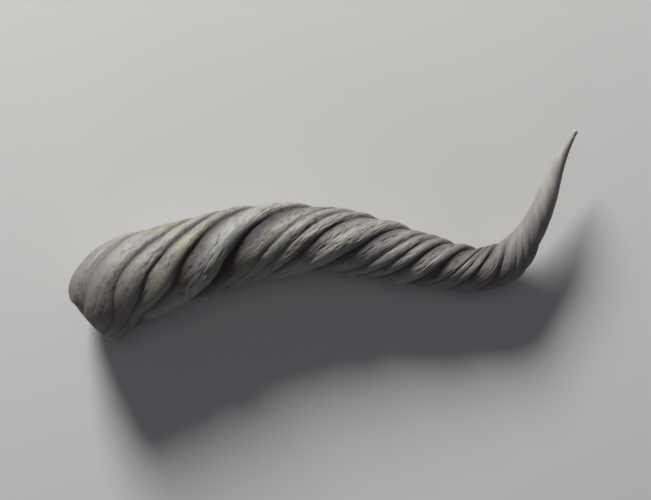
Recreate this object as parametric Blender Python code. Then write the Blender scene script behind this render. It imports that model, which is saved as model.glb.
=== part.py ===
"""A shofar made from a twisted antelope horn, lying at rest on a flat surface.

Two pieces: the hollow horn with its bore, and a small turned mouthpiece seated in the horn's tip.
Metres, +Z up. The wide bell faces -X and -Y, the tip rises towards +X and +Y, and the horn rests
on its own underside. The origin is under the middle of the whole shofar's box.
"""

import math

import bmesh
import bpy
import numpy as np
from mathutils import Vector

# ---- Driving dimensions -------------------------------------------------------------------------

# The horn's axis from the bell to the tip: x, y, z, and the radius over the strand crests.
AXIS_STATIONS = (
    (-0.2512, -0.0868, 0.0462, 0.0430),
    (-0.2402, -0.0773, 0.0464, 0.0445),
    (-0.2202, -0.0593, 0.0468, 0.0465),
    (-0.1902, -0.0438, 0.0468, 0.0465),
    (-0.1502, -0.0298, 0.0465, 0.0445),
    (-0.1002, -0.0148, 0.0446, 0.0425),
    (-0.0452, -0.0053, 0.0421, 0.0387),
    (0.0098, -0.0058, 0.0378, 0.0365),
    (0.0648, -0.0173, 0.0338, 0.0325),
    (0.1098, -0.0278, 0.0305, 0.0295),
    (0.1548, -0.0363, 0.0280, 0.0250),
    (0.1978, -0.0283, 0.0289, 0.0225),
    (0.2183, -0.0053, 0.0328, 0.0165),
    (0.2388, 0.0372, 0.0397, 0.0115),
    (0.2538, 0.0804, 0.0447, 0.0063),
    (0.2698, 0.1112, 0.0477, 0.0029),
)
RIM_ROLL_DEPTH = 0.0095  # how far the bell's edge is rounded in
RIM_ROLL_LENGTH = 0.010  # and over what length the rounding dies out

# The strands wound round the horn, in order; the fourth and the last are the prominent ones.
STRAND_WIDTHS = (9.7, 5.2, 5.8, 11.0, 9.1, 4.4, 5.2, 12.4)  # relative widths
STRAND_CRESTS = (-0.25, 0.0, -0.10, 0.30, -0.20, 0.05, -0.10, 0.35)  # extra height, in groove depths
GROOVE_DEPTH = 0.11  # of the local radius
CREST_LEAN = 1.3  # above 1, the crest leans towards the tip
CREST_ROUNDNESS = 0.7
COLUMN_WIDTH = 2.4  # about how much of a strand's relative width one column of the skin covers
LEAST_COLUMNS = 3

# The winding is slack at the bell and tightens towards the tip: metres along the axis from the
# bell, and radians per metre there.
TWIST_RATES = (
    (0.00, 13.5),
    (0.09, 14.0),
    (0.15, 20.0),
    (0.24, 22.0),
    (0.31, 29.0),
    (0.40, 42.0),
    (0.45, 47.0),
    (0.65, 47.0),
)
TWIST_PHASE = -0.39
GROOVE_FADES = ((0.470, 0.570, 0.75), (0.550, 0.620, 0.25))  # from, to, share of the depth lost

# The inside.
WALL_AT_GROOVE = 0.003
CAVITY_LENGTH = 0.460
CAVITY_POWER = 2.6  # above 1, the cavity keeps its width for longer before it narrows
BORE_RADIUS = 0.0013
SOCKET_RADIUS = 0.0022
SOCKET_DEPTH = 0.0115
FIT_GAP = 0.0003

# The mouthpiece.
MOUTHPIECE_LENGTH = 0.0065  # the part that stands out of the horn
LIP_RADIUS = 0.0029
NECK_RADIUS = 0.0026
LIP_ROUNDING = 0.0016
CUP_RADIUS = 0.0017
CUP_DEPTH = 0.0022
MOUTH_BORE_RADIUS = 0.0011

# Mesh fineness.
RING_STEP = 0.0155  # metres of plain horn between two rings
RING_TURN = 0.42  # radians of winding between two rings
RIM_RINGS = (0.0, 0.0022, 0.0050, 0.0090, 0.0140)
CAVITY_RINGS = 18
BORE_RINGS = 14
AXIS_SAMPLES = 1600
MOUTHPIECE_SIDES = 24

HORN_COLOUR = (0.30, 0.29, 0.26, 1.0)
MOUTHPIECE_COLOUR = (0.52, 0.50, 0.45, 1.0)


# ---- Curves -------------------------------------------------------------------------------------

def spline_bends(knots, values):
    """Second derivatives of the natural cubic spline through the values at the knots."""
    steps = np.diff(knots)
    matrix = np.eye(len(knots))
    right = np.zeros_like(values)
    for i in range(1, len(knots) - 1):
        before, after = steps[i - 1], steps[i]
        matrix[i, i - 1:i + 2] = before, 2 * (before + after), after
        right[i] = 6 * ((values[i + 1] - values[i]) / after - (values[i] - values[i - 1]) / before)
    return np.linalg.solve(matrix, right)


def spline_points(knots, values, where):
    """The natural cubic spline's values at the given places along its knots."""
    bends = spline_bends(knots, values)
    i = np.clip(np.searchsorted(knots, where, side="right") - 1, 0, len(knots) - 2)
    step = knots[i + 1] - knots[i]
    start = ((knots[i + 1] - where) / step)[:, None]
    end = 1 - start
    curved = (start**3 - start) * bends[i] + (end**3 - end) * bends[i + 1]
    return start * values[i] + end * values[i + 1] + curved * (step**2 / 6)[:, None]


class Axis:
    """The horn's axis and crest radius, read by distance along it from the bell."""

    def __init__(self):
        stations = np.array(AXIS_STATIONS)
        chords = np.linalg.norm(np.diff(stations[:, :3], axis=0), axis=1)
        knots = np.concatenate(([0.0], np.cumsum(chords)))
        self.rows = spline_points(knots, stations, np.linspace(0, knots[-1], AXIS_SAMPLES))
        runs = np.linalg.norm(np.diff(self.rows[:, :3], axis=0), axis=1)
        self.distances = np.concatenate(([0.0], np.cumsum(runs)))
        self.length = self.distances[-1]

    def point(self, distance):
        columns = [np.interp(distance, self.distances, self.rows[:, k]) for k in range(3)]
        return Vector(columns)

    def radius(self, distance):
        plain = np.interp(distance, self.distances, self.rows[:, 3])
        return plain - RIM_ROLL_DEPTH * math.exp(-distance / RIM_ROLL_LENGTH)

    def frame(self, distance):
        """Three unit vectors: along the axis, as near straight up as can be, and across."""
        reach = 0.0008
        ahead = self.point(min(distance + reach, self.length))
        behind = self.point(max(distance - reach, 0.0))
        along = (ahead - behind).normalized()
        up = Vector((0, 0, 1))
        up = (up - along * up.dot(along)).normalized()
        return along, up, up.cross(along)

    def ring(self, distance, radii, angles):
        """The points at these radii and angles in the plane square to the axis."""
        centre = self.point(distance)
        _, up, across = self.frame(distance)
        turns = zip(radii, angles)
        return [centre + up * (r * math.cos(a)) + across * (r * math.sin(a)) for r, a in turns]


# ---- The strands' shape -------------------------------------------------------------------------

def smooth_step(start, end, value):
    t = min(max((value - start) / (end - start), 0.0), 1.0)
    return t * t * (3 - 2 * t)


def winding(distance):
    """How far the strands have turned round the axis, in radians."""
    turned = -TWIST_PHASE
    for (start, rate), (end, end_rate) in zip(TWIST_RATES, TWIST_RATES[1:]):
        run = min(max(distance - start, 0.0), end - start)
        turned += rate * run + (end_rate - rate) * run**2 / (2 * (end - start))
    return turned


def strand_columns():
    """For each column of the horn's skin: its angle among the strands, and its relief there."""
    columns = []
    total = sum(STRAND_WIDTHS)
    edge = 0.0
    for width, crest in zip(STRAND_WIDTHS, STRAND_CRESTS):
        count = max(LEAST_COLUMNS, round(width / COLUMN_WIDTH))
        for k in range(count):
            across = k / count
            rise = math.sin(math.pi * across**CREST_LEAN) ** CREST_ROUNDNESS
            angle = 2 * math.pi * (edge + across * width) / total
            columns.append((angle, (1 + crest) * rise - 1))
        edge += width
    return columns


def groove_depth(distance):
    kept = 1.0
    for start, end, share in GROOVE_FADES:
        kept -= share * smooth_step(start, end, distance)
    return GROOVE_DEPTH * kept


def skin_ring(axis, columns, distance):
    depth = groove_depth(distance)
    radius = axis.radius(distance)
    turn = winding(distance)
    radii = [radius * (1 + depth * relief) for _, relief in columns]
    angles = [turn - angle for angle, _ in columns]
    return axis.ring(distance, radii, angles)


def skin_distances(end):
    """Where the skin's rings sit: closer where the rim rounds over and where the winding is tight."""
    fine = np.linspace(RIM_RINGS[-1], end, AXIS_SAMPLES)
    cost = [d / RING_STEP + winding(d) / RING_TURN for d in fine]
    count = math.ceil(cost[-1] - cost[0])
    spread = np.interp(np.linspace(cost[0], cost[-1], count + 1), cost, fine)
    return list(RIM_RINGS[:-1]) + list(spread)


# ---- The inside ---------------------------------------------------------------------------------

def cavity_radius(axis, distance):
    """The hollow left by the horn's core narrows to the drilled bore."""
    share_left = max(1 - (distance / CAVITY_LENGTH) ** CAVITY_POWER, 0.0)
    hollow = (axis.radius(distance) * (1 - GROOVE_DEPTH) - WALL_AT_GROOVE) * share_left
    return math.hypot(hollow, BORE_RADIUS)


def inner_rings(axis, columns, end):
    """Rings from the tip's socket back to the bell's mouth, turning to meet the skin's columns."""
    start_turn = winding(0.0)
    full_turn = 2 * math.pi
    leftover = math.remainder(winding(end) - start_turn, full_turn)
    socket_floor = end - SOCKET_DEPTH
    stops = [(end, SOCKET_RADIUS), (socket_floor, SOCKET_RADIUS)]
    bore_stops = np.linspace(socket_floor, CAVITY_LENGTH, BORE_RINGS, endpoint=False)
    stops += [(distance, BORE_RADIUS) for distance in bore_stops]
    cavity_stops = np.linspace(CAVITY_LENGTH, 0.0, CAVITY_RINGS)
    stops += [(distance, cavity_radius(axis, distance)) for distance in cavity_stops]
    rings = []
    for distance, radius in stops:
        turn = start_turn + leftover * distance / end
        angles = [turn - angle for angle, _ in columns]
        rings.append(axis.ring(distance, [radius] * len(columns), angles))
    return rings


# ---- Building -----------------------------------------------------------------------------------

def material(name, colour, roughness):
    made = bpy.data.materials.new(name)
    made.use_nodes = True
    shader = made.node_tree.nodes["Principled BSDF"]
    shader.inputs["Base Color"].default_value = colour
    shader.inputs["Roughness"].default_value = roughness
    shader.inputs["Metallic"].default_value = 0.0
    return made


def finished_object(name, mesh_maker, its_material, sharp_degrees):
    mesh_maker.normal_update()
    mesh = bpy.data.meshes.new(name)
    mesh_maker.to_mesh(mesh)
    mesh_maker.free()
    mesh.materials.append(its_material)
    mesh.shade_smooth()
    mesh.set_sharp_from_angle(angle=math.radians(sharp_degrees))
    made = bpy.data.objects.new(name, mesh)
    bpy.context.scene.collection.objects.link(made)
    return made


def lofted_loop(rings):
    """One closed skin over rings of equal count, where the last ring joins the first."""
    maker = bmesh.new()
    loops = [[maker.verts.new(point) for point in ring] for ring in rings]
    count = len(loops[0])
    for this, following in zip(loops, loops[1:] + loops[:1]):
        for k in range(count):
            after = (k + 1) % count
            maker.faces.new((this[k], this[after], following[after], following[k]))
    bmesh.ops.recalc_face_normals(maker, faces=maker.faces)
    bmesh.ops.triangulate(maker, faces=maker.faces, quad_method="SHORT_EDGE")
    return maker


def make_horn(axis):
    columns = strand_columns()
    end = axis.length - MOUTHPIECE_LENGTH
    rings = [skin_ring(axis, columns, distance) for distance in skin_distances(end)]
    rings += inner_rings(axis, columns, end)
    keratin = material("horn_keratin", HORN_COLOUR, 0.5)
    return finished_object("horn", lofted_loop(rings), keratin, 40)


def mouthpiece_profile():
    """Radius and height round the tube's wall: up the tenon and lip outside, down the bore inside."""
    tenon_radius = SOCKET_RADIUS - FIT_GAP
    tenon_foot = FIT_GAP - SOCKET_DEPTH
    lip_middle = MOUTHPIECE_LENGTH - LIP_ROUNDING
    outline = [(tenon_radius, tenon_foot), (tenon_radius, FIT_GAP)]
    outline += [(LIP_RADIUS, FIT_GAP), (NECK_RADIUS, MOUTHPIECE_LENGTH * 0.35)]
    flat = LIP_RADIUS - LIP_ROUNDING
    for step in range(6):
        angle = math.radians(90 * step / 5)
        radius = flat + LIP_ROUNDING * math.cos(angle)
        height = lip_middle + LIP_ROUNDING * math.sin(angle)
        outline.append((max(radius, CUP_RADIUS), height))
    outline.append((MOUTH_BORE_RADIUS, MOUTHPIECE_LENGTH - CUP_DEPTH))
    outline.append((MOUTH_BORE_RADIUS, tenon_foot))
    return outline


def make_mouthpiece(axis):
    maker = bmesh.new()
    outline = mouthpiece_profile()
    verts = [maker.verts.new((radius, 0, height)) for radius, height in outline]
    edges = [maker.edges.new(pair) for pair in zip(verts, verts[1:] + verts[:1])]
    spin = {"cent": (0, 0, 0), "axis": (0, 0, 1), "dvec": (0, 0, 0)}
    full_turn = 2 * math.pi
    bmesh.ops.spin(maker, geom=verts + edges, angle=full_turn, steps=MOUTHPIECE_SIDES, **spin)
    bmesh.ops.remove_doubles(maker, verts=maker.verts, dist=1e-6)
    bmesh.ops.recalc_face_normals(maker, faces=maker.faces)
    bone = material("mouthpiece_bone", MOUTHPIECE_COLOUR, 0.35)
    made = finished_object("mouthpiece", maker, bone, 40)
    seat = axis.length - MOUTHPIECE_LENGTH
    along, _, _ = axis.frame(seat)
    made.location = axis.point(seat)
    made.rotation_mode = "QUATERNION"
    made.rotation_quaternion = Vector((0, 0, 1)).rotation_difference(along)
    return made


def parent_to_one_empty(pieces):
    """The empty stands at the origin, so that the whole shofar can be moved by it."""
    base = bpy.data.objects.new("shofar", None)
    bpy.context.scene.collection.objects.link(base)
    for piece in pieces:
        piece.parent = base


def main():
    for old in list(bpy.data.objects):
        bpy.data.objects.remove(old, do_unlink=True)
    axis = Axis()
    parent_to_one_empty([make_horn(axis), make_mouthpiece(axis)])


main()
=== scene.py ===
"""The looks of a shofar made from a twisted antelope horn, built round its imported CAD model.

The horn's skin is wound from strands that follow the same axis, twist and strand layout as the CAD
horn, at a much finer mesh, with furrows, cracks, pits and chips pressed into it. Metres, +Z up.
"""

import math
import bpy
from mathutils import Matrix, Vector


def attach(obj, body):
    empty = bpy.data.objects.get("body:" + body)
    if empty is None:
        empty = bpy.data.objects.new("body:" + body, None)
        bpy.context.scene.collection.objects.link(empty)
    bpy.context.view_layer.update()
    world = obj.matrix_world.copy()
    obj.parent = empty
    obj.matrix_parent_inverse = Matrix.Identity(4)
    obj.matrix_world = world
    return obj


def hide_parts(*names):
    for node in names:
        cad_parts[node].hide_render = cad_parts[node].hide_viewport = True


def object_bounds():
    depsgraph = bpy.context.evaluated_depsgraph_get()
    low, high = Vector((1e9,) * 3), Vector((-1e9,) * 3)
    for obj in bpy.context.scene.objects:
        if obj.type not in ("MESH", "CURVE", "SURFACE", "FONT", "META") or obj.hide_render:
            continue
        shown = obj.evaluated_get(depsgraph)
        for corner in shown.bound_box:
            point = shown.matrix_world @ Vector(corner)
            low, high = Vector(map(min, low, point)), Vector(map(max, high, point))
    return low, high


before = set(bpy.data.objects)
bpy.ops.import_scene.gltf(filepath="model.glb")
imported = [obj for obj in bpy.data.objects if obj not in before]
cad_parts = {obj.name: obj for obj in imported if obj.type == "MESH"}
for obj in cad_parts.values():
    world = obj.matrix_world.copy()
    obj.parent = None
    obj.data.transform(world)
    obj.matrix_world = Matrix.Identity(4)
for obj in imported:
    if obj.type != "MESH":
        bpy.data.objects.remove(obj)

from types import SimpleNamespace

import bpy
import numpy as np
from mathutils import Vector, noise

CAD_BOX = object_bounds()

# ---- The horn's axis, strands and inside, as the CAD has them -----------------------------------

# x, y, z and the radius over the strand crests, from the bell to the tip
AXIS_STATIONS = (
    (-0.2512, -0.0868, 0.0462, 0.0430),
    (-0.2402, -0.0773, 0.0464, 0.0445),
    (-0.2202, -0.0593, 0.0468, 0.0465),
    (-0.1902, -0.0438, 0.0468, 0.0465),
    (-0.1502, -0.0298, 0.0465, 0.0445),
    (-0.1002, -0.0148, 0.0446, 0.0425),
    (-0.0452, -0.0053, 0.0421, 0.0387),
    (0.0098, -0.0058, 0.0378, 0.0365),
    (0.0648, -0.0173, 0.0338, 0.0325),
    (0.1098, -0.0278, 0.0305, 0.0295),
    (0.1548, -0.0363, 0.0280, 0.0250),
    (0.1978, -0.0283, 0.0289, 0.0225),
    (0.2183, -0.0053, 0.0328, 0.0165),
    (0.2388, 0.0372, 0.0397, 0.0115),
    (0.2538, 0.0804, 0.0447, 0.0063),
    (0.2698, 0.1112, 0.0477, 0.0029),
)
RIM_ROLL_DEPTH = 0.0095  # the skin curls in by this much at the saw cut
RIM_ROLL_LENGTH = 0.010
STRAND_WIDTHS = (9.7, 5.2, 5.8, 11.0, 9.1, 4.4, 5.2, 12.4)  # in proportion to one another
GROOVE_DEPTH = 0.11  # the standard depth, a share of the radius
# Metres along the axis from the bell, and radians per metre there
TWIST_RATES = (
    (0.00, 13.5),
    (0.09, 14.0),
    (0.15, 20.0),
    (0.24, 22.0),
    (0.31, 29.0),
    (0.40, 42.0),
    (0.45, 47.0),
    (0.65, 47.0),
)
TWIST_PHASE = -0.39  # from the first strand's edge at the bell to straight up, in radians
WALL_AT_GROOVE = 0.003
CAVITY_LENGTH = 0.460
CAVITY_POWER = 2.6  # the higher, the blunter the cavity's end
BORE_RADIUS = 0.0013
SOCKET_RADIUS = 0.0022
SOCKET_DEPTH = 0.0115
FIT_GAP = 0.0003
MOUTHPIECE_LENGTH = 0.0065  # without its tenon

# ---- The mesh -----------------------------------------------------------------------------------

AXIS_SAMPLES = 4000
COLUMNS = 224
SKIN_RINGS = 382
RIM_RING_BONUS = 0.020  # the rings crowd at the rim as if the skin were this much longer there
RIM_RING_REACH = 0.012
CAVITY_RINGS = 26
CAVITY_RING_POWER = 1.15  # above 1, they crowd towards the bell
BORE_RINGS = 16
RIM_STEPS = 5

# ---- The strands, as only the looks have them ---------------------------------------------------

# A pair named growth or fade has the distances from the bell, in metres, where it starts and ends.
# A reach is how far from its middle a hump has fallen to 0.37. Turns are radians from straight up
# towards the +Y side. A layer of wound noise has its strength, how many features fit round the horn
# and into a metre along it, and its seed.
STRAND_WANDER = ((0.060, 5, 14, 1), (0.022, 14, 60, 2))  # strength in radians round the horn
CREST_UNEVENNESS = ((0.18, 6, 22, 3),)
GROOVE_UNEVENNESS = ((0.25, 6, 20, 4),)
NOISE_SEED_STEPS = (17.3, 5.1)  # how far seeds lie apart in the noise, sideways and along

CREST_ROUNDNESS = 0.56  # the lower, the flatter the crests and the narrower the grooves
# Above 1, a strand rises slowly from the groove before it and falls steeply into the one after it
STRAND_LEANS = (1.7, 1.2, 1.3, 2.0, 3.6, 1.1, 1.3, 1.7)
# Heights in standard groove depths, a row for each strand or groove. The values in a row are those
# where it passes the top of the lying horn, from the pass nearest the bell to the one nearest the tip.
STRAND_TOPS = (
    (0.00, -0.25, -0.10),
    (-0.05, -0.05, 0.00),
    (0.00, 0.00, 0.00),
    (0.35, 0.35, 0.10),
    (-0.35, -0.20, 0.00),
    (-0.05, -0.05, 0.00),
    (0.00, 0.00, 0.00),
    (0.40, 0.30, 0.10),
)
GROOVE_FLOORS = (
    (-0.80, -1.12, -1.00),
    (-1.25, -0.80, -0.60),
    (-1.30, -0.80, -0.60),
    (-1.20, -1.05, -0.60),
    (-1.50, -1.02, -0.80),
    (-0.75, -0.80, -0.60),
    (-0.75, -0.30, -0.45),
    (-1.05, -0.90, -0.60),
)
BELL_LAG = 0.26  # the strands hang back by so many radians low on the bell's -Y side
BELL_LAG_TURN = -0.60
BELL_LAG_REACH = 0.50
BELL_LAG_FADE = (0.10, 0.22)

# The grooves are shallower at the bell, a little deeper where the winding is tight, deeper again on
# the inner side of the bend, and fade out on the tip, sooner on its +Y side.
BELL_GROOVE_SHARE = 0.58
BELL_GROOVE_GROWTH = (0.03, 0.15)
TIGHT_GROOVE_GAIN = 0.03
TIGHT_GROOVE_GROWTH = (0.22, 0.36)
INNER_BEND_GAIN = 1.30
INNER_BEND_MIDDLE = 0.455
INNER_BEND_REACH = 0.030
GROOVE_FADES = ((0.475, 0.560, 0.85), (0.540, 0.610, 0.15))  # from, to, share of the depth lost
SMOOTH_SIDE_LEAD = 0.022  # metres

# ---- The skin's finer shape ---------------------------------------------------------------------

# Furrows along the wide strands: place across the strand, reach and seed. Depths are in standard
# groove depths, and a pair named edges has the noise between which a patch starts and is whole.
STRAND_FURROWS = ((0.36, 0.10, 11), (0.70, 0.08, 12))
FURROW_DEPTH = 0.20
FURROW_WANDER = 0.07
FURROW_WANDER_PATTERN = (8, 18)  # features round the horn and in a metre along it
FURROW_WANDER_SEED = 20  # added to the furrow's own seed
FURROW_PATCHES = (7, 16)
FURROW_PATCH_EDGES = (-0.10, 0.35)
FURROWED_WIDTHS = (0.5, 0.9)  # strands narrower than the first, in radians, have none
# Furrows of the bell alone: angle from the first strand's edge, reach and depth
BELL_FURROWS = ((0.20, 0.11, 0.60), (-0.62, 0.11, 0.45))
BELL_FURROW_FADE = (0.050, 0.095)

# Strengths in metres
SKIN_LUMPS = ((0.0009, 9, 26, 34), (0.0007, 24, 70, 33), (0.00022, 90, 110, 31))
LUMPS_FULL_RADIUS = 0.045  # where lumps and chips have their stated size; elsewhere in proportion
TIP_SMOOTHNESS = 0.90  # the share of the fine shape that is lost on the tip
TIP_SMOOTH_FADE = (0.460, 0.560)
BELL_SMOOTHNESS = 0.45  # and at the bell
BELL_SMOOTH_FADE = (0.05, 0.15)

CHIP_DEPTH = 0.0007
CHIP_LAYERS = ((1.0, 75, 130, 51), (0.5, 150, 230, 52))
CHIP_EDGES = (0.10, 0.22)
DEEP_CHIP_EDGES = (0.35, 0.45)
DEEP_CHIP_SHARE = 0.6
CHIP_PATCHES = (10, 22, 53)
CHIP_PATCH_EDGES = (-0.10, 0.25)
CHIPPED_HEIGHTS = (-0.8, -0.1)  # none in the grooves below the first, all above the second

BLEMISH_SEED = 7
CRACK_COUNT = 260
CRACK_DEPTH = 0.0011
CRACK_DEPTH_SHARES = (0.3, 1.0)
CRACK_HALF_LENGTHS = (0.0022, 0.0055)
CRACK_HALF_WIDTHS = (0.0010, 0.0018)
CRACKED_STRETCH = (0.015, 0.42, 0.8)  # start, length and crowding: above 1, nearer the bell
PIT_COUNT = 150
PIT_DEPTH_SHARES = (0.3, 0.9)
PIT_RADII = (0.0014, 0.0030)
PITTED_STRETCH = (0.006, 0.32, 1.3)

SHOULDER_HEIGHT = 0.0024  # the bell swells a little on its +Y side
SHOULDER_MIDDLE = 0.070
SHOULDER_REACH = 0.045
NOTCH_DEPTH = 0.0050  # a dip in the bell's lower outline, where one strand starts beside the next
NOTCH_TURN = -1.45
NOTCH_TURN_REACH = 0.42
NOTCH_MIDDLE = 0.056
NOTCH_REACH = 0.011
NECK_DEPTH = 0.15  # the share of its radius that the tip loses beside the mouthpiece
NECK_REACH = 0.016
RIM_WEAR = 0.0032  # how far the saw cut is worn back for each groove depth below the unworn height
RIM_WEAR_LENGTH = 0.007
RIM_UNWORN_HEIGHT = 0.3
HOLLOW_UNEVENNESS = 0.035  # a share of the cavity's radius
HOLLOW_LUMPS = (9, 25, 41)
HOLLOW_EVEN_LENGTH = 0.02  # the cavity is round at the saw cut and uneven from here
LEAST_WALL = 0.0012  # between the skin and the cavity's highest lumps

# What the material takes off the height among the strands for the deepest crack, and for a chip
CRACK_SHADE = 0.5
CHIP_SHADE = 0.15
INSIDE_HEIGHT = -0.3  # the height that it takes the rim and the inside to have
FIBRE_REACH = 0.040  # the patterns are as fine as on a horn of this radius

# ---- The mouthpiece -----------------------------------------------------------------------------

LIP_RADIUS = 0.0030
LIP_ROUNDING = 0.0016
WAIST_DEPTH = 0.00020
CUP_DEPTH = 0.0022
MOUTH_BORE_RADIUS = 0.0011
MOUTHPIECE_SIDES = 64
WAIST_STEPS = 14
LIP_STEPS = 12
CUP_STEPS = 8

# ---- Colours: linear red, green and blue --------------------------------------------------------

DULL_STRAND = (0.148, 0.143, 0.140)
PLAIN_STRAND = (0.198, 0.194, 0.184)
PALE_STRAND = (0.250, 0.249, 0.223)
OLIVE_STRAND = (0.218, 0.220, 0.146)
RUSSET_STRAND = (0.150, 0.113, 0.109)
COOL_STRAND = (0.190, 0.186, 0.215)
MIDDLE_STRAND = (0.178, 0.168, 0.167)
BEND_STRAND = (0.108, 0.098, 0.101)
BELL_EDGE = (0.108, 0.101, 0.097)
STREAK = (0.095, 0.086, 0.080)
CHIPPED = (0.330, 0.330, 0.285)
# Paler crests: real wear, and a painted highlight on the strands' tops
WORN_AND_HIGHLIT_CREST = (0.318, 0.320, 0.276)
# Painted shade on the strands' flanks, where they fall away into the grooves
FLANK_SHADE = (0.087, 0.073, 0.078)
# Dirt and painted shade deep in the grooves, a dark violet grey
GROOVE_DIRT_AND_SHADE = (0.044, 0.034, 0.040)
CRACK = (0.035, 0.030, 0.028)
TIP_DARK = (0.250, 0.243, 0.240)
TIP_PALE = (0.330, 0.322, 0.318)
TIP_OLIVE = (0.390, 0.388, 0.330)
HOLLOW_DARK = (0.10, 0.085, 0.065)
HOLLOW_PALE = (0.21, 0.185, 0.145)
MOUTHPIECE_DARK = (0.33, 0.322, 0.305)
MOUTHPIECE_PALE = (0.40, 0.392, 0.372)
MOUTHPIECE_FOOT = (0.29, 0.282, 0.276)
FLOOR_GREY = (0.62, 0.62, 0.62)
SKY = (0.83, 0.77, 0.91)
SKY_STRENGTH = 0.05

# ---- Where the skin's looks change, in metres from the bell -------------------------------------

BELL_EDGE_ZONE = (0.02, 0.09)
BELL_BUMP_ZONE = (0.05, 0.16)
MIDDLE_ZONE = (0.22, 0.36)
BEND_ZONE = (0.36, 0.45)
TIP_ZONE = (0.46, 0.58)

KERATIN_SPECULAR = 0.42
KERATIN_BUMP_DEPTH = 0.0008
TURNED_RING_DEPTH = 0.00005
TURNED_RING_RATE = 26000.0  # radians in a metre, or about four rings in a millimetre

# ---- Studio -------------------------------------------------------------------------------------

# Each light's place, what it points at, its diameter, watts and colour
LIGHTS = {
    "key": ((-1.30, 3.75, 1.70), (0, 0, 0.03), 1.4, 322, (1.0, 0.99, 0.95)),
    "fill": ((-0.8, -3.4, 0.85), (0, 0, 0.03), 1.6, 14, (0.93, 0.88, 1.0)),
    "top": ((-0.2, 0.4, 2.6), (0, 0, 0), 1.6, 4, (1.0, 0.98, 1.0)),
}
FLOOR_SIZE = 16.0
CAMERA_LENS = 85  # millimetres, as is the sensor
CAMERA_SENSOR = 36
CAMERA_OFFSET = (0.0022, -0.0165)  # from the middle of the CAD box
CAMERA_HEIGHT = 1.690


# ---- Curves and steps ---------------------------------------------------------------------------

def smooth_step(start, end, value):
    """0 before start, 1 after end, and a smooth rise between them."""
    t = np.clip((value - start) / (end - start), 0.0, 1.0)
    return t * t * (3 - 2 * t)


def hump(middle, reach, value):
    """1 at the middle, falling smoothly to 0.37 at its reach on either side and then to 0."""
    return np.exp(-(((value - middle) / reach) ** 2))


def angle_from(middle, angles):
    """The angles measured from the middle, between half a turn back and half a turn on."""
    return np.mod(angles - middle + math.pi, 2 * math.pi) - math.pi


def spline_points(knots, values, where):
    """The natural cubic spline's values at the given places along its knots."""
    steps = np.diff(knots)
    matrix = np.eye(len(knots))
    right = np.zeros_like(values)
    for i in range(1, len(knots) - 1):
        before, after = steps[i - 1], steps[i]
        matrix[i, i - 1:i + 2] = before, 2 * (before + after), after
        right[i] = 6 * ((values[i + 1] - values[i]) / after - (values[i] - values[i - 1]) / before)
    bends = np.linalg.solve(matrix, right)
    i = np.clip(np.searchsorted(knots, where, side="right") - 1, 0, len(knots) - 2)
    step = knots[i + 1] - knots[i]
    start = ((knots[i + 1] - where) / step)[:, None]
    end = 1 - start
    curved = (start**3 - start) * bends[i] + (end**3 - end) * bends[i + 1]
    return start * values[i] + end * values[i + 1] + curved * (step**2 / 6)[:, None]


class Axis:
    """The horn's axis, read by arrays of distances along it from the bell."""

    def __init__(self):
        stations = np.array(AXIS_STATIONS)
        chords = np.linalg.norm(np.diff(stations[:, :3], axis=0), axis=1)
        knots = np.concatenate(([0.0], np.cumsum(chords)))
        rows = spline_points(knots, stations, np.linspace(0, knots[-1], AXIS_SAMPLES))
        self.centres = rows[:, :3]
        self.radii = rows[:, 3]
        runs = np.linalg.norm(np.diff(self.centres, axis=0), axis=1)
        self.distances = np.concatenate(([0.0], np.cumsum(runs)))
        self.length = self.distances[-1]
        along = np.gradient(self.centres, self.distances, axis=0)
        self.tangents = along / np.linalg.norm(along, axis=1)[:, None]
        up = np.array([0.0, 0.0, 1.0]) - self.tangents[:, 2:] * self.tangents
        self.ups = up / np.linalg.norm(up, axis=1)[:, None]
        self.sides = np.cross(self.ups, self.tangents)

    def read(self, vectors, distances):
        columns = [np.interp(distances, self.distances, column) for column in vectors.T]
        return np.stack(columns, axis=-1)

    def centre(self, distances):
        return self.read(self.centres, distances)

    def along(self, distances):
        return self.read(self.tangents, distances)

    def radius(self, distances):
        plain = np.interp(distances, self.distances, self.radii)
        return plain - RIM_ROLL_DEPTH * np.exp(-distances / RIM_ROLL_LENGTH)

    def outward(self, distances, turns):
        """Directions square to the axis, turned from straight up; turns has a row for each distance."""
        up = self.read(self.ups, distances)[:, None]
        side = self.read(self.sides, distances)[:, None]
        return np.cos(turns)[..., None] * up + np.sin(turns)[..., None] * side

    def rings(self, distances, radii, turns):
        """A ring of points for each distance; radii and turns have a row for each ring."""
        return self.centre(distances)[:, None] + radii[..., None] * self.outward(distances, turns)


def column_angles():
    """Where the mesh's columns lie round the horn, measured from the first strand's edge."""
    return np.linspace(0, 2 * math.pi, COLUMNS, endpoint=False)


def winding(distances):
    """How far the strands have turned round the axis, in radians."""
    turned = -TWIST_PHASE
    for (start, rate), (end, end_rate) in zip(TWIST_RATES, TWIST_RATES[1:]):
        run = np.clip(distances - start, 0.0, end - start)
        turned = turned + rate * run + (end_rate - rate) * run**2 / (2 * (end - start))
    return turned


def cavity_radius(axis, distances):
    """The hollow left by the horn's core narrows to the drilled bore."""
    share_left = np.clip(1 - (distances / CAVITY_LENGTH) ** CAVITY_POWER, 0.0, None)
    hollow = (axis.radius(distances) * (1 - GROOVE_DEPTH) - WALL_AT_GROOVE) * share_left
    return np.hypot(hollow, BORE_RADIUS)


# ---- Relief of the strands ----------------------------------------------------------------------

def wound_noise(angles, distances, around, along, seed):
    """Noise that follows the strands, one row for each ring, from -1 to 1.

    around is how many features fit round the horn, and along how many fit in a metre.
    """
    reach = around / (2 * math.pi)
    sideways_step, along_step = NOISE_SEED_STEPS
    xs = np.cos(angles) * reach
    ys = np.sin(angles) * reach + seed * sideways_step
    zs = np.broadcast_to(distances[:, None] * along + seed * along_step, angles.shape)
    flat = zip(xs.ravel().tolist(), ys.ravel().tolist(), zs.ravel().tolist())
    values = [noise.noise(point) for point in flat]
    return np.array(values).reshape(angles.shape)


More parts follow.
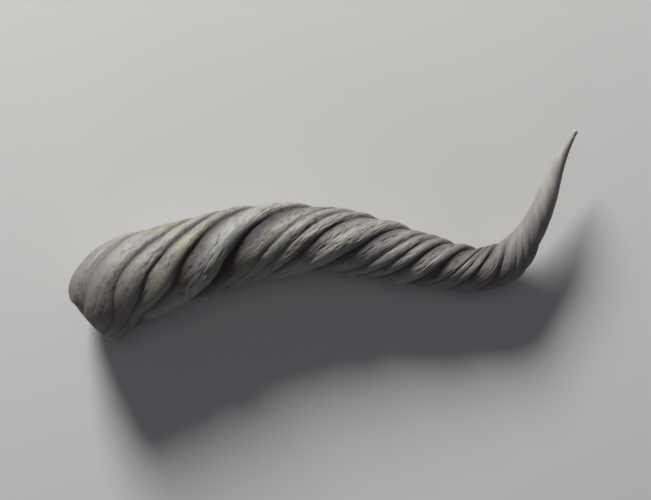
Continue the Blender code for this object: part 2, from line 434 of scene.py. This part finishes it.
def layered_noise(angles, distances, layers):
    """The sum of some layers of wound noise, each with its own strength."""
    return sum(strength * wound_noise(angles, distances, *pattern) for strength, *pattern in layers)


def groove_strength(distances, turns):
    """The share of the standard depth that the grooves have at each point."""
    kept = BELL_GROOVE_SHARE + (1 - BELL_GROOVE_SHARE) * smooth_step(*BELL_GROOVE_GROWTH, distances)
    kept = kept + TIGHT_GROOVE_GAIN * smooth_step(*TIGHT_GROOVE_GROWTH, distances)
    lead = SMOOTH_SIDE_LEAD * np.sin(turns)
    left = 1.0
    for start, end, share in GROOVE_FADES:
        left = left - share * smooth_step(start, end, distances[:, None] + lead)
    inner_bend = hump(INNER_BEND_MIDDLE, INNER_BEND_REACH, distances)[:, None]
    inner_bend = inner_bend * np.clip(np.sin(turns), 0, None)
    return kept[:, None] * left * (1 + INNER_BEND_GAIN * inner_bend)


def bell_lag(distances, turns):
    """How far the strands hang back low on the bell's -Y side, in radians."""
    at_bell = 1 - smooth_step(*BELL_LAG_FADE, distances)[:, None]
    return BELL_LAG * at_bell * hump(0.0, BELL_LAG_REACH, angle_from(BELL_LAG_TURN, turns))


def strand_edges():
    """The angles where the strands meet, from the first strand's edge round to it again."""
    widths = np.array(STRAND_WIDTHS)
    return np.concatenate(([0.0], np.cumsum(widths))) / widths.sum() * 2 * math.pi


def strand_places(angles, distances, turns):
    """Each point's strand, how far across that the point lies, from 0 to 1, and the strand's width."""
    edges = strand_edges()
    wander = layered_noise(angles, distances, STRAND_WANDER) - bell_lag(distances, turns)
    turned = np.mod(angles + wander, 2 * math.pi)
    strand = np.clip(np.searchsorted(edges, turned, side="right") - 1, 0, len(STRAND_WIDTHS) - 1)
    width = edges[strand + 1] - edges[strand]
    across = np.clip((turned - edges[strand]) / width, 0, 1)
    return strand, across, width


def at_pass(table, rows, passes):
    """The table's values, blended between one pass over the top of the horn and the next.

    The row after the last is the first row again, one pass further on.
    """
    values = np.array(table)
    last = values.shape[1] - 1
    place = np.clip(passes + rows // len(values), 0, last)
    before = np.minimum(place.astype(int), last - 1)
    share = place - before
    rows = np.mod(rows, len(values))
    return values[rows, before] * (1 - share) + values[rows, before + 1] * share


def strand_relief(angles, distances, turns):
    """The strands' own shape: about -1 in the grooves, 0 on a plain crest, higher on a proud one."""
    strand, across, width = strand_places(angles, distances, turns)
    edges = strand_edges()
    leaned = across ** np.array(STRAND_LEANS)[strand]
    rise = np.sin(math.pi * leaned) ** CREST_ROUNDNESS
    wound = winding(distances)[:, None]
    start_passes = (wound - edges[strand]) / (2 * math.pi)
    end_passes = (wound - edges[strand + 1]) / (2 * math.pi)
    tops = at_pass(STRAND_TOPS, strand, (start_passes + end_passes) / 2)
    tops += layered_noise(angles, distances, CREST_UNEVENNESS)
    floor = at_pass(GROOVE_FLOORS, strand, start_passes) * (1 - across)
    floor += at_pass(GROOVE_FLOORS, strand + 1, end_passes) * across
    floor *= 1 + layered_noise(angles, distances, GROOVE_UNEVENNESS)
    return floor + (tops - floor) * rise - furrows(across, width, angles, distances)


def furrows(across, width, angles, distances):
    """Two shallow furrows along each wide strand, coming and going, and those of the bell alone."""
    depth = np.zeros_like(angles)
    for place, reach, seed in STRAND_FURROWS:
        wander_seed = seed + FURROW_WANDER_SEED
        shift = FURROW_WANDER * wound_noise(angles, distances, *FURROW_WANDER_PATTERN, wander_seed)
        patches = wound_noise(angles, distances, *FURROW_PATCHES, seed)
        depth += smooth_step(*FURROW_PATCH_EDGES, patches) * hump(shift, reach, across - place)
    depth *= FURROW_DEPTH * smooth_step(*FURROWED_WIDTHS, width)
    near_bell = 1 - smooth_step(*BELL_FURROW_FADE, distances)[:, None]
    for angle, reach, deep in BELL_FURROWS:
        depth += deep * near_bell * hump(0.0, reach, angle_from(angle, angles))
    return depth


# ---- Blemishes of the skin ----------------------------------------------------------------------

def press(depth, surface, angle, distance, half_width, half_length, deepest):
    """Press one rounded hollow into the depths, where it is deeper than what is there.

    surface has the columns' angles, and the rings' distances and radii.
    """
    angles, distances, radii = surface
    rows = np.nonzero(np.abs(distances - distance) < half_length)[0]
    if not len(rows):
        return
    gap = angle_from(angle, angles)
    radius = radii[rows].mean()
    columns = np.nonzero(np.abs(gap) * radius < half_width)[0]
    sideways = (gap[columns] * radius / half_width)[None, :]
    lengthways = ((distances[rows] - distance) / half_length)[:, None]
    hollow = np.clip(1 - sideways**2, 0, None) * np.clip(1 - lengthways**2, 0, None)
    block = np.ix_(rows, columns)
    depth[block] = np.maximum(depth[block], deepest * hollow)


def random_distance(rng, start, length, crowding):
    return start + length * rng.random() ** crowding


def cracks_and_pits(angles, distances, radii):
    """Short cracks along the strands, and round pits, as depths in metres."""
    rng = np.random.default_rng(BLEMISH_SEED)
    depth = np.zeros_like(angles)
    surface = (angles[0], distances, radii)
    for _ in range(CRACK_COUNT):
        distance = random_distance(rng, *CRACKED_STRETCH)
        half_length = rng.uniform(*CRACK_HALF_LENGTHS)
        angle = rng.uniform(0, 2 * math.pi)
        half_width = rng.uniform(*CRACK_HALF_WIDTHS)
        deepest = rng.uniform(*CRACK_DEPTH_SHARES) * CRACK_DEPTH
        press(depth, surface, angle, distance, half_width, half_length, deepest)
    for _ in range(PIT_COUNT):
        distance = random_distance(rng, *PITTED_STRETCH)
        radius = rng.uniform(*PIT_RADII)
        angle = rng.uniform(0, 2 * math.pi)
        deepest = rng.uniform(*PIT_DEPTH_SHARES) * CRACK_DEPTH
        press(depth, surface, angle, distance, radius, radius, deepest)
    return depth


def chips(angles, distances, relief):
    """Where thin bits of the skin have come away, from 0 to 1.6, mostly on the crests."""
    layers = layered_noise(angles, distances, CHIP_LAYERS)
    lost = smooth_step(*CHIP_EDGES, layers)
    lost = lost + DEEP_CHIP_SHARE * smooth_step(*DEEP_CHIP_EDGES, layers)
    present = smooth_step(*CHIP_PATCH_EDGES, wound_noise(angles, distances, *CHIP_PATCHES))
    return lost * present * smooth_step(*CHIPPED_HEIGHTS, relief)


def fineness(distances):
    """The share of the fine shape that each ring keeps: a tenth on the tip, half at the bell."""
    kept = 1 - TIP_SMOOTHNESS * smooth_step(*TIP_SMOOTH_FADE, distances)
    return kept - BELL_SMOOTHNESS * (1 - smooth_step(*BELL_SMOOTH_FADE, distances))


# ---- The outline's own dips and swells ----------------------------------------------------------

def shoulder(distances, turns):
    """How much the bell swells on its +Y side."""
    along = hump(SHOULDER_MIDDLE, SHOULDER_REACH, distances)[:, None]
    return SHOULDER_HEIGHT * along * np.clip(np.sin(turns), 0, None)


def notch(distances, turns):
    """How deep the dip in the bell's lower outline is."""
    along = hump(NOTCH_MIDDLE, NOTCH_REACH, distances)[:, None]
    return NOTCH_DEPTH * (along * hump(0.0, NOTCH_TURN_REACH, angle_from(NOTCH_TURN, turns)))


def neck(axis, distances):
    """The share of its radius that the skin keeps where it narrows to the mouthpiece."""
    to_end = axis.length - MOUTHPIECE_LENGTH - distances
    return 1 - NECK_DEPTH * hump(0.0, NECK_REACH, to_end)


def worn_rim(distances, relief):
    """How far the skin's first rings are worn back from the saw cut: more in the grooves."""
    fade = np.exp(-distances / RIM_WEAR_LENGTH)[:, None]
    return RIM_WEAR * fade * (RIM_UNWORN_HEIGHT - relief)


def clear_of_hollow(axis, distances, radii):
    """The radii, raised where they would leave less than the least wall round the cavity."""
    hollow = cavity_radius(axis, np.minimum(distances, CAVITY_LENGTH))[:, None]
    return np.maximum(radii, hollow * (1 + HOLLOW_UNEVENNESS) + LEAST_WALL)


# ---- The horn -----------------------------------------------------------------------------------

def skin(axis, distances):
    """The outer skin's rings, with each point's height among the strands for the material."""
    angles = np.tile(column_angles(), (len(distances), 1))
    turns = winding(distances)[:, None] - angles
    plain = axis.radius(distances)
    strength = groove_strength(distances, turns)
    relief = strand_relief(angles, distances, turns)
    fine = fineness(distances)[:, None]
    lumps = layered_noise(angles, distances, SKIN_LUMPS)
    lost = chips(angles, distances, relief)
    cuts = cracks_and_pits(angles, distances, plain)

    radii = plain[:, None] * (1 + GROOVE_DEPTH * strength * relief)
    radii += fine * (plain[:, None] / LUMPS_FULL_RADIUS) * (lumps - CHIP_DEPTH * lost)
    radii += shoulder(distances, turns)
    radii -= fine * cuts
    radii -= notch(distances, turns)
    radii *= neck(axis, distances)[:, None]
    radii = clear_of_hollow(axis, distances, radii)
    points = axis.rings(distances, radii, turns)
    points += worn_rim(distances, relief)[..., None] * axis.along(distances)[:, None]
    points[..., 2] = np.maximum(points[..., 2], 0.0)  # worn flat where it lies

    shade = strength * relief - fine * (CRACK_SHADE * cuts / CRACK_DEPTH + CHIP_SHADE * lost)
    return points, shade


def skin_distances(axis, end):
    """Where the skin's rings sit: evenly along the strands, and closer at the rim."""
    samples = np.linspace(0.0, end, AXIS_SAMPLES)
    slope = axis.radius(samples) * np.gradient(winding(samples), samples)
    cost = np.cumsum(np.hypot(1.0, slope)) * (samples[1] - samples[0])
    cost += RIM_RING_BONUS * (1 - np.exp(-samples / RIM_RING_REACH))
    return np.interp(np.linspace(cost[0], cost[-1], SKIN_RINGS), cost, samples)


def inside(axis, end):
    """Rings from the tip's socket back to the mouth of the bell."""
    floor = end - SOCKET_DEPTH
    bore = np.linspace(floor, CAVITY_LENGTH, BORE_RINGS, endpoint=False)
    cavity = CAVITY_LENGTH * (np.linspace(1.0, 0.0, CAVITY_RINGS) ** CAVITY_RING_POWER)
    distances = np.concatenate(([end, floor], bore, cavity))
    radii = np.concatenate(([SOCKET_RADIUS] * 2, [BORE_RADIUS] * BORE_RINGS,
                            cavity_radius(axis, cavity)))
    columns = column_angles()
    leftover = math.remainder(winding(end) - winding(0.0), 2 * math.pi)
    turns = (winding(0.0) + leftover * distances / end)[:, None] - columns[None, :]
    uneven = wound_noise(np.tile(columns, (len(distances), 1)), distances, *HOLLOW_LUMPS)
    lumps = HOLLOW_UNEVENNESS * uneven * smooth_step(0.0, HOLLOW_EVEN_LENGTH, distances)[:, None]
    lumps *= (radii > 2 * BORE_RADIUS)[:, None]  # only the cavity is uneven, not what was drilled
    return axis.rings(distances, radii[:, None] * (1 + lumps), turns)


def rim(inner_ring, outer_ring):
    """Rings across the sawn face of the bell, from its inner edge to its outer edge."""
    shares = np.arange(1, RIM_STEPS)[:, None, None] / RIM_STEPS
    return inner_ring + (outer_ring - inner_ring) * shares


def lofted_mesh(name, rings, attributes):
    """One closed skin over equal rings; the last ring joins the first. Attributes are per point."""
    ring_count, column_count = rings.shape[:2]
    index = np.arange(ring_count * column_count).reshape(ring_count, column_count)
    after = np.roll(index, -1, axis=0)
    quads = np.stack([index, np.roll(index, -1, axis=1), np.roll(after, -1, axis=1), after], axis=-1)
    mesh = bpy.data.meshes.new(name)
    mesh.from_pydata(rings.reshape(-1, 3).tolist(), [], quads.reshape(-1, 4).tolist())
    for key, values in attributes.items():
        kind, field = ("FLOAT_VECTOR", "vector") if values.ndim == 3 else ("FLOAT", "value")
        layer = mesh.attributes.new(key, kind, "POINT")
        layer.data.foreach_set(field, values.astype(np.float32).ravel())
    mesh.shade_smooth()
    made = bpy.data.objects.new(name, mesh)
    bpy.context.scene.collection.objects.link(made)
    return made


def make_horn(axis):
    """The horn as one closed skin: outside, socket, bore, cavity and sawn rim.

    The material reads three attributes: fibre, a place in a straight horn of even thickness;
    relief, the height among the strands; and within, 1 inside the horn and on its rim.
    """
    end = axis.length - MOUTHPIECE_LENGTH
    distances = skin_distances(axis, end)
    outer, shade = skin(axis, distances)
    inner = inside(axis, end)
    rings = np.concatenate([outer, inner, rim(inner[-1], outer[0])])
    hidden = (len(rings) - len(outer), COLUMNS)
    angles = np.broadcast_to(column_angles(), rings.shape[:2])
    places = np.concatenate([distances, np.zeros(hidden[0])])[:, None]
    fibre = np.stack([np.cos(angles) * FIBRE_REACH, np.sin(angles) * FIBRE_REACH,
                      np.broadcast_to(places, angles.shape)], axis=-1)
    within = np.concatenate([np.zeros_like(shade), np.ones(hidden)])
    relief = np.concatenate([shade, np.full(hidden, INSIDE_HEIGHT)])
    return lofted_mesh("horn_skin", rings, {"fibre": fibre, "relief": relief, "within": within})


# ---- The mouthpiece -----------------------------------------------------------------------------

def quarter_arc(radius, height, width, rise, steps):
    """Points round a quarter of an ellipse about (radius, height); a rise below 0 goes downwards."""
    angles = [math.radians(90 * k / steps) for k in range(steps + 1)]
    return [(radius + width * math.cos(angle), height + rise * math.sin(angle)) for angle in angles]


def mouthpiece_profile(collar_radius):
    """Radius and height round the tube's wall, from the tenon's foot outside to its foot inside."""
    tenon_radius = SOCKET_RADIUS - FIT_GAP
    tenon_foot = FIT_GAP - SOCKET_DEPTH
    outline = [(tenon_radius, tenon_foot), (tenon_radius, FIT_GAP)]
    lip_middle = MOUTHPIECE_LENGTH - LIP_ROUNDING
    for k in range(WAIST_STEPS):
        share = k / WAIST_STEPS
        straight = collar_radius + (LIP_RADIUS - collar_radius) * share
        waist = math.sin(math.pi * share) ** 2 * WAIST_DEPTH
        outline.append((straight - waist, FIT_GAP + share * (lip_middle - FIT_GAP)))
    cup_radius = LIP_RADIUS - LIP_ROUNDING
    outline += quarter_arc(cup_radius, lip_middle, LIP_ROUNDING, LIP_ROUNDING, LIP_STEPS)
    cup = quarter_arc(MOUTH_BORE_RADIUS, MOUTHPIECE_LENGTH, cup_radius - MOUTH_BORE_RADIUS,
                      -CUP_DEPTH, CUP_STEPS)
    outline += cup[1:]  # its first point is the lip's last
    outline.append((MOUTH_BORE_RADIUS, tenon_foot))
    return np.array(outline)


def make_mouthpiece(axis):
    """The turned mouthpiece, with its height above the horn's end as an attribute."""
    seat = np.array([axis.length - MOUTHPIECE_LENGTH])
    profile = mouthpiece_profile((axis.radius(seat) * neck(axis, seat))[0])
    turns = np.linspace(0, -2 * math.pi, MOUTHPIECE_SIDES, endpoint=False)
    centre = axis.centre(seat)[0]
    along = axis.along(seat)[0]
    outward = axis.outward(seat, turns[None])[0]
    rings = [centre + along * height + outward * radius for radius, height in profile]
    heights = np.broadcast_to(profile[:, 1:2], (len(profile), MOUTHPIECE_SIDES))
    return lofted_mesh("mouthpiece_turned", np.array(rings), {"height": heights})


# ---- Materials ----------------------------------------------------------------------------------

class Nodes:
    """A small helper to wire up a material's nodes."""

    def __init__(self, name):
        self.material = bpy.data.materials.new(name)
        self.material.use_nodes = True
        self.tree = self.material.node_tree
        self.shader = self.tree.nodes["Principled BSDF"]

    def add(self, kind, settings=None, **inputs):
        node = self.tree.nodes.new(kind)
        for key, value in (settings or {}).items():
            setattr(node, key, value)
        for key, value in inputs.items():
            self.set(node, key, value)
        return node

    def set(self, node, socket, value):
        """Link a socket, given by its name or number, or set it; a colour needs no alpha."""
        target = node.inputs[socket]
        if isinstance(value, bpy.types.NodeSocket):
            self.tree.links.new(value, target)
        elif target.type == "RGBA":
            target.default_value = (*value, 1.0)
        else:
            target.default_value = value

    def attribute(self, name, output):
        return self.add("ShaderNodeAttribute", {"attribute_name": name}).outputs[output]

    def math(self, operation, first, second=0.0):
        node = self.add("ShaderNodeMath", {"operation": operation})
        self.set(node, 0, first)
        self.set(node, 1, second)
        return node.outputs[0]

    def stretched(self, vector, scale):
        node = self.add("ShaderNodeVectorMath", {"operation": "MULTIPLY"})
        self.set(node, 0, vector)
        self.set(node, 1, scale)
        return node.outputs[0]

    def noise(self, vector, scale, detail, roughness=0.55):
        node = self.add("ShaderNodeTexNoise", Vector=vector, Scale=scale, Detail=detail,
                        Roughness=roughness)
        return node.outputs["Fac"]

    def fibrous(self, vector, scale, detail, roughness=0.55, run=1.0):
        """Noise drawn out along the strands: run is its scale along them beside that across."""
        return self.noise(self.stretched(vector, (1.0, 1.0, run)), scale, detail, roughness)

    def ramp(self, factor, stops):
        node = self.add("ShaderNodeValToRGB", Fac=factor)
        elements = node.color_ramp.elements
        while len(elements) < len(stops):
            elements.new(0.5)
        for element, (place, colour) in zip(elements, stops):
            element.position = place
            element.color = (*colour, 1.0)
        return node.outputs["Color"]

    def range(self, value, low, high, to_low=0.0, to_high=1.0):
        """The value from low to high, turned into to_low to to_high and held there outside."""
        node = self.add("ShaderNodeMapRange")
        for k, number in enumerate((value, low, high, to_low, to_high)):
            self.set(node, k, number)
        return node.outputs[0]

    def mix(self, factor, first, second):
        node = self.add("ShaderNodeMix", {"data_type": "RGBA"})
        self.set(node, 0, factor)
        self.set(node, 6, first)  # sockets 6 and 7 and result 2 are the ones for colours
        self.set(node, 7, second)
        return node.outputs[2]

    def bump(self, height, strength, distance):
        node = self.add("ShaderNodeBump", Strength=strength, Distance=distance, Height=height)
        self.set(self.shader, "Normal", node.outputs["Normal"])


def keratin_patterns(n):
    """What the parts of the keratin share: where each point is, and the noises that mark it."""
    fibre = n.attribute("fibre", "Vector")
    along = n.add("ShaderNodeSeparateXYZ", Vector=fibre).outputs["Z"]
    patches = n.fibrous(fibre, 48.0, 3.0, run=0.6)
    chipped = n.fibrous(fibre, 330.0, 3.0, 0.65, run=0.7)
    return SimpleNamespace(
        fibre=fibre,
        along=along,
        relief=n.attribute("relief", "Fac"),
        toward_middle=n.range(along, *MIDDLE_ZONE),
        toward_bend=n.range(along, *BEND_ZONE),
        toward_tip=n.range(along, *TIP_ZONE),
        patches=patches,
        grain=n.fibrous(fibre, 380.0, 4.0, 0.6, run=0.5),
        streaks=n.fibrous(fibre, 300.0, 4.0, 0.6, run=0.18),
        chip=n.math("MULTIPLY", n.range(chipped, 0.53, 0.58), n.range(patches, 0.42, 0.58)),
        olive=n.noise(fibre, 27.0, 2.0),
        stains=n.fibrous(fibre, 41.0, 2.0, run=0.7),
    )


def fine_cracks(n, fibre):
    """1 along thin cracks that follow the strands here and there, 0 between them."""
    field = n.fibrous(fibre, 230.0, 3.0, 0.6, run=0.30)
    off_line = n.math("ABSOLUTE", n.math("SUBTRACT", field, 0.5))
    here = n.noise(fibre, 80.0, 2.0)
    return n.math("MULTIPLY", n.range(off_line, 0.006, 0.024, 1.0, 0.0), n.range(here, 0.50, 0.62))


def dirt_and_shade_in_grooves(n, p):
    """How much groove dirt and painted shade a point takes: 1 deep in the grooves, 0 on the strands,
    and less on the bend.
    """
    held_back = n.math("SUBTRACT", 1.0, n.math("MULTIPLY", p.toward_bend, 0.4))
    return n.math("MULTIPLY", n.range(p.relief, -0.35, -1.40), held_back)


def stained_strand(n, p):
    """The strands' own colour, in patches of grey, olive, russet and a cool grey."""
    colour = n.ramp(p.patches, ((0.32, DULL_STRAND), (0.50, PLAIN_STRAND), (0.68, PALE_STRAND)))
    beside_middle = n.math("SUBTRACT", 1.0, n.math("MULTIPLY", p.toward_middle, 0.6))
    olive_share = n.math("MULTIPLY", n.range(p.olive, 0.48, 0.62, 0.0, 0.75), beside_middle)
    colour = n.mix(olive_share, colour, OLIVE_STRAND)
    colour = n.mix(n.range(p.stains, 0.53, 0.66, 0.0, 0.60), colour, RUSSET_STRAND)
    colour = n.mix(n.range(p.stains, 0.46, 0.34, 0.0, 0.60), colour, COOL_STRAND)
    return n.mix(n.math("MULTIPLY", p.toward_middle, 0.6), colour, MIDDLE_STRAND)


def worn_strand(n, p):
    """The strands with their streaks and chips, crests paler both from wear and by a painted highlight,
    painted shade on the flanks, and darker on bend and rim.
    """
    colour = stained_strand(n, p)
    colour = n.mix(n.range(p.streaks, 0.36, 0.60, 0.24, 0.0), colour, STREAK)
    colour = n.mix(n.math("MULTIPLY", p.chip, 0.45), colour, CHIPPED)
    # The crests are paler by their height among the strands, partly wear and partly a painted highlight
    grain_share = n.range(p.grain, 0.40, 0.60, 0.20, 0.65)
    worn_and_highlit = n.math("MULTIPLY", n.range(p.relief, -0.35, 0.30), grain_share)
    colour = n.mix(worn_and_highlit, colour, WORN_AND_HIGHLIT_CREST)
    # Painted shade down the flanks, deepening towards the grooves
    colour = n.mix(n.range(p.relief, -0.25, -0.90, 0.0, 0.55), colour, FLANK_SHADE)
    colour = n.mix(n.math("MULTIPLY", p.toward_bend, 0.80), colour, BEND_STRAND)
    return n.mix(n.range(p.along, *BELL_EDGE_ZONE, 0.65, 0.0), colour, BELL_EDGE)


def tip_colour(n, p):
    """The smooth tip: pale, with soft streaks and olive clouds."""
    colour = n.mix(n.range(p.streaks, 0.35, 0.70), TIP_DARK, TIP_PALE)
    return n.mix(n.range(p.olive, 0.50, 0.62, 0.0, 0.7), colour, TIP_OLIVE)


def keratin_height(n, p, cracks):
    """The finest relief, for the bump: grain and streaks, less chips and cracks."""
    height = n.math("ADD", n.math("MULTIPLY", p.grain, 1.1), n.math("MULTIPLY", p.streaks, 0.5))
    height = n.math("SUBTRACT", height, n.math("MULTIPLY", p.chip, 0.35))
    return n.math("SUBTRACT", height, n.math("MULTIPLY", cracks, 0.8))


def keratin():
    """Weathered horn: pale strands with worn crests that also carry a painted highlight, grooves dark
    with dirt and painted shade, chips and cracks, smooth towards the tip.
    """
    n = Nodes("horn_keratin_look")
    p = keratin_patterns(n)
    groove_dirt_and_shade = dirt_and_shade_in_grooves(n, p)
    cracks = fine_cracks(n, p.fibre)

    # The grooves are darkened by their depth: dirt, and painted shade
    colour = n.mix(groove_dirt_and_shade, worn_strand(n, p), GROOVE_DIRT_AND_SHADE)
    colour = n.mix(n.math("MULTIPLY", cracks, 0.70), colour, CRACK)
    colour = n.mix(n.math("MULTIPLY", p.toward_tip, 0.90), colour, tip_colour(n, p))
    hollow = n.ramp(p.patches, ((0.3, HOLLOW_DARK), (0.7, HOLLOW_PALE)))
    n.set(n.shader, "Base Color", n.mix(n.attribute("within", "Fac"), colour, hollow))

    rough = n.range(p.grain, 0.3, 0.7, 0.41, 0.66)
    rough = n.math("ADD", rough, n.math("MULTIPLY", groove_dirt_and_shade, 0.30))
    rough = n.math("SUBTRACT", rough, n.math("MULTIPLY", p.toward_tip, 0.06))
    n.set(n.shader, "Roughness", rough)
    n.set(n.shader, "Specular IOR Level", KERATIN_SPECULAR)

    strength = n.math("SUBTRACT", 0.70, n.math("MULTIPLY", p.toward_tip, 0.57))
    strength = n.math("SUBTRACT", strength, n.range(p.along, *BELL_BUMP_ZONE, 0.35, 0.0))
    n.bump(keratin_height(n, p, cracks), strength, KERATIN_BUMP_DEPTH)
    return n.material


def polished_horn():
    """The pale, smooth material of the mouthpiece, with faint rings from turning."""
    n = Nodes("mouthpiece_look")
    height = n.attribute("height", "Fac")
    clouds = n.noise(n.add("ShaderNodeTexCoord").outputs["Object"], 600.0, 3.0)
    pale = n.ramp(clouds, ((0.35, MOUTHPIECE_DARK), (0.65, MOUTHPIECE_PALE)))
    foot = n.range(height, 0.0005, 0.0035, 0.8, 0.0)
    n.set(n.shader, "Base Color", n.mix(foot, pale, MOUTHPIECE_FOOT))
    n.set(n.shader, "Roughness", n.range(clouds, 0.3, 0.7, 0.42, 0.55))
    rings = n.math("SINE", n.math("MULTIPLY", height, TURNED_RING_RATE))
    n.bump(rings, 0.15, TURNED_RING_DEPTH)
    return n.material


def pale_floor():
    n = Nodes("floor_paper")
    n.set(n.shader, "Base Color", FLOOR_GREY)
    n.set(n.shader, "Roughness", 0.9)
    return n.material


# ---- Floor, lights and camera -------------------------------------------------------------------

def make_floor():
    bpy.ops.mesh.primitive_plane_add(size=FLOOR_SIZE, location=(0, 0, 0))
    floor = bpy.context.object
    floor.name = "floor"
    floor.data.materials.append(pale_floor())


def area_light(name, place, target, size, watts, colour):
    data = bpy.data.lights.new(name, "AREA")
    data.shape = "DISK"
    data.size = size
    data.energy = watts
    data.color = colour
    lamp = bpy.data.objects.new(name, data)
    lamp.location = place
    aim = Vector(target) - Vector(place)
    lamp.rotation_euler = aim.to_track_quat("-Z", "Y").to_euler()
    bpy.context.scene.collection.objects.link(lamp)


def make_lights():
    for name, settings in LIGHTS.items():
        area_light(name, *settings)
    world = bpy.data.worlds.new("studio")
    world.use_nodes = True
    sky = world.node_tree.nodes["Background"]
    sky.inputs["Color"].default_value = (*SKY, 1.0)
    sky.inputs["Strength"].default_value = SKY_STRENGTH
    bpy.context.scene.world = world


def make_camera():
    """The camera looks straight down on the lying horn."""
    low, high = (Vector(corner) for corner in CAD_BOX)
    middle = (low + high) / 2
    data = bpy.data.cameras.new("camera")
    data.lens = CAMERA_LENS
    data.sensor_width = CAMERA_SENSOR
    camera = bpy.data.objects.new("camera", data)
    across, up = CAMERA_OFFSET
    camera.location = (middle.x + across, middle.y + up, CAMERA_HEIGHT)
    bpy.context.scene.collection.objects.link(camera)
    bpy.context.scene.camera = camera


# ---- Putting it together ------------------------------------------------------------------------

axis = Axis()
horn = make_horn(axis)
horn.data.materials.append(keratin())
mouthpiece = make_mouthpiece(axis)
mouthpiece.data.materials.append(polished_horn())
make_camera()
make_lights()
make_floor()
bpy.context.scene.view_settings.view_transform = "Standard"
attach(horn, "root")
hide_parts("horn")
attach(mouthpiece, "root")
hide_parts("mouthpiece")
